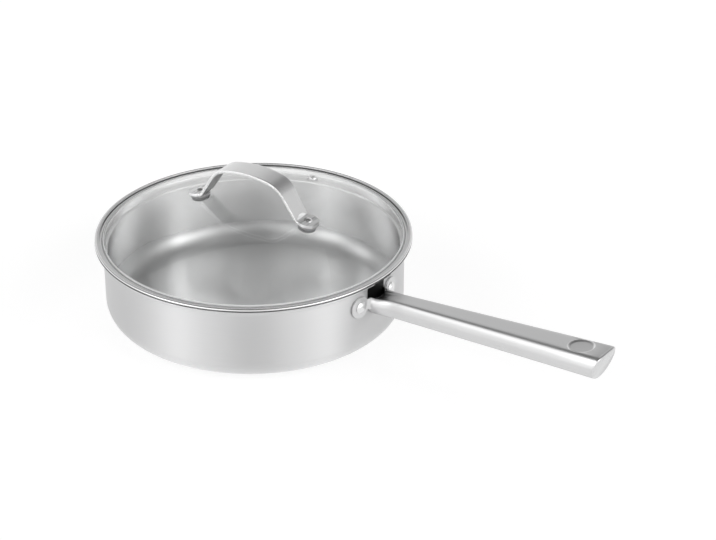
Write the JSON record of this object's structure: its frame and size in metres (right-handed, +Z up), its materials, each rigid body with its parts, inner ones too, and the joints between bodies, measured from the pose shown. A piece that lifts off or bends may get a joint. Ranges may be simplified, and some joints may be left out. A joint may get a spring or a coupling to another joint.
{
  "type": "saute pan with lid",
  "caption": "Straight-sided steel saute pan on a thick disc base, with one long hollow handle riveted by wrap-round ears and a domed glass lid with a bent strap handle.",
  "frame": {"origin": "middle of the base's flat underside, where the pan stands", "axes": "+Z up through the middle of the pan and lid, +X out along the long handle, +Y completes the right-handed frame"},
  "size_m": [0.4533, 0.2546, 0.1271],
  "materials": {
    "satin_steel": "satin, fine circular or lengthwise brushing",
    "polished_steel": "polished stainless steel",
    "core_aluminium": "plain aluminium, sealed inside the base",
    "clear_glass": "clear tempered glass",
    "dark_silicone": "dark grey silicone",
    "clear_silicone": "milky see-through silicone"
  },
  "bodies": {
    "pan": {"pan_body": "satin_steel", "base_core": "core_aluminium", "base_cap": "satin_steel", "handle_shell": "satin_steel", "handle_end_cap": "satin_steel", "handle_rivet_left": "polished_steel", "handle_rivet_right": "polished_steel"},
    "lid": {"lid_glass": "clear_glass", "lid_rim_ring": "polished_steel", "lid_rim_seal": "clear_silicone", "lid_strap": "satin_steel", "strap_rivet_near": "polished_steel", "strap_rivet_far": "polished_steel", "strap_gasket_near": "dark_silicone", "strap_gasket_far": "dark_silicone", "inner_gasket_near": "dark_silicone", "inner_gasket_far": "dark_silicone", "inner_washer_near": "polished_steel", "inner_washer_far": "polished_steel", "vent_eyelet": "polished_steel"}
  },
  "joints": [
    {"name": "lid_lift", "type": "slide", "parent": "pan", "child": "lid", "axis": [0, 0, 1], "range_m": [0, 0.12]}
  ]
}
